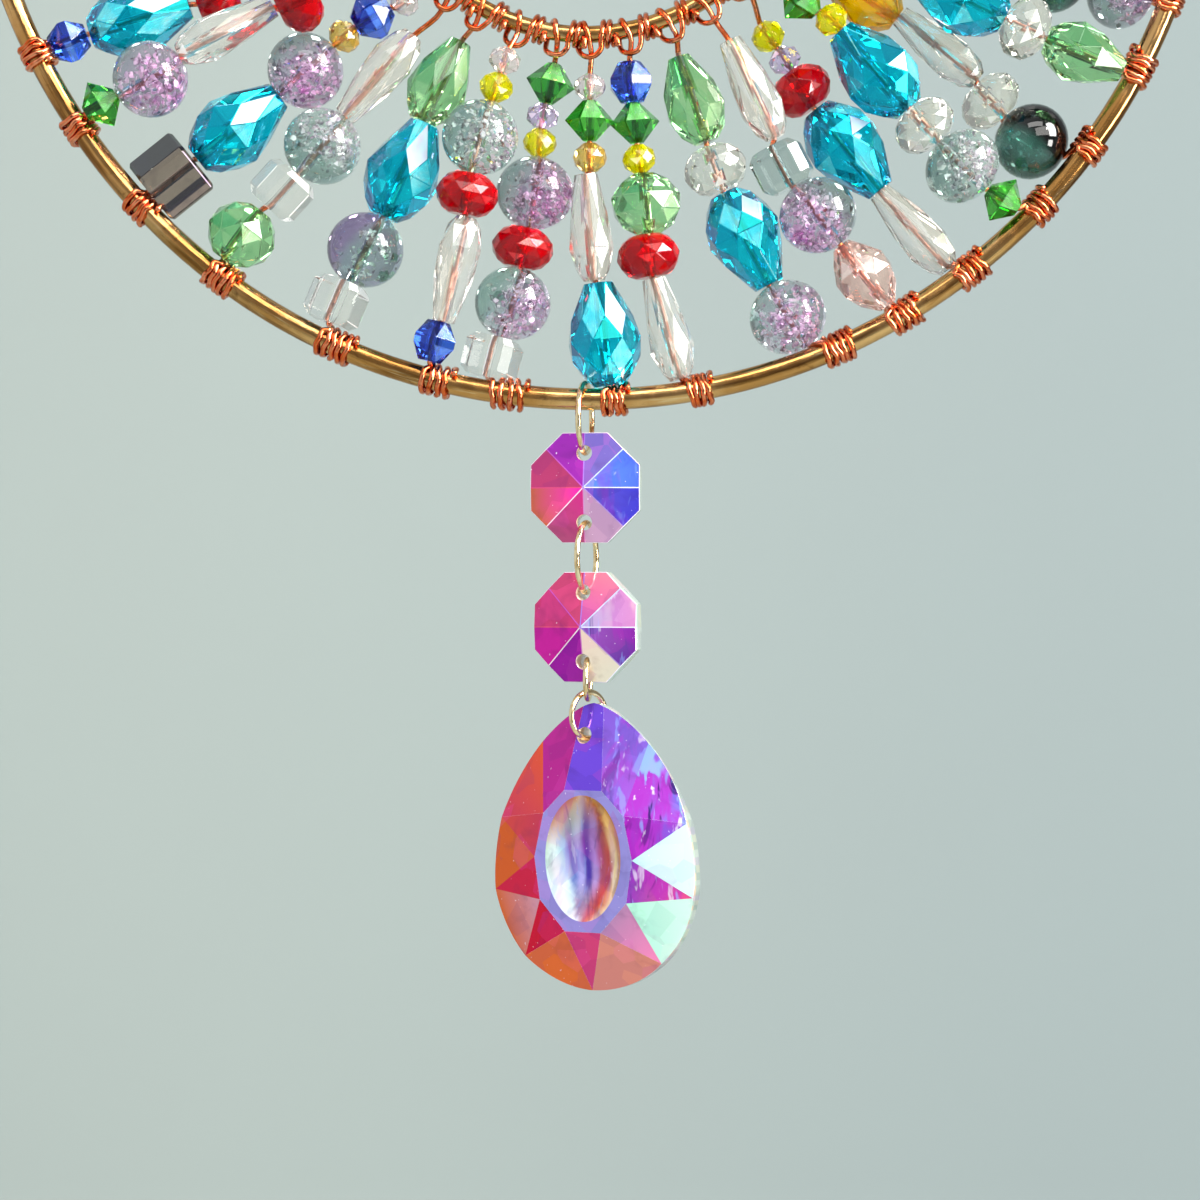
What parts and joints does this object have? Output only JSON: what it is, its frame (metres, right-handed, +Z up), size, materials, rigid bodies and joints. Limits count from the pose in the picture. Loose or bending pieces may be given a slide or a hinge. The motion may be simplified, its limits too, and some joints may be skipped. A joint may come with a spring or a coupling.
{
  "type": "crystal suncatcher",
  "caption": "Round suncatcher of wired glass bead strands between brass hoops, with octagon crystals and a faceted teardrop crystal hanging below on jump rings.",
  "frame": {"origin": "the inside top of the hanging ring, where the hook or thread carries it", "axes": "+Z up, the hoops lie in the XZ plane, the front of the crystals faces -Y, X to the right seen from the front"},
  "size_m": [0.1598, 0.0154, 0.2506],
  "materials": {
    "brass": "antique brass, brown in the shade and tan gold in the light",
    "gold_wire": "bright pale gold plated wire",
    "copper_wire": "bright bare copper wire",
    "bead_glass": "polished clear and coloured glass",
    "crystal": "cut crystal with an iridescent coating behind"
  },
  "bodies": {
    "root": {"outer_ring": "brass", "inner_ring": "brass", "hanging_ring": "brass", "top_jump_ring": "gold_wire", "jump_ring_1": "gold_wire", "jump_ring_2": "gold_wire", "jump_ring_3": "gold_wire", "jump_ring_4": "gold_wire", "octagon_crystal_1": "crystal", "octagon_crystal_2": "crystal", "teardrop_crystal": "crystal", "bead_strand_01": "bead_glass", "bead_strand_02": "bead_glass", "bead_strand_03": "bead_glass", "bead_strand_04": "bead_glass", "bead_strand_05": "bead_glass", "bead_strand_06": "bead_glass", "bead_strand_07": "bead_glass", "bead_strand_08": "bead_glass", "bead_strand_09": "bead_glass", "bead_strand_10": "bead_glass", "bead_strand_11": "bead_glass", "bead_strand_12": "bead_glass", "bead_strand_13": "bead_glass", "bead_strand_14": "bead_glass", "bead_strand_15": "bead_glass", "bead_strand_16": "bead_glass", "bead_strand_17": "bead_glass", "bead_strand_18": "bead_glass", "bead_strand_19": "bead_glass", "bead_strand_20": "bead_glass", "bead_strand_21": "bead_glass", "bead_strand_22": "bead_glass", "bead_strand_23": "bead_glass", "bead_strand_24": "bead_glass", "bead_strand_25": "bead_glass", "bead_strand_26": "bead_glass", "bead_strand_27": "bead_glass", "bead_strand_28": "bead_glass", "bead_strand_29": "bead_glass", "bead_strand_30": "bead_glass", "bead_strand_31": "bead_glass", "bead_strand_32": "bead_glass", "bead_strand_33": "bead_glass", "bead_strand_34": "bead_glass", "bead_strand_35": "bead_glass", "bead_strand_36": "bead_glass", "bead_strand_37": "bead_glass", "bead_strand_38": "bead_glass", "bead_strand_39": "bead_glass", "bead_strand_40": "bead_glass"}
  },
  "joints": []
}
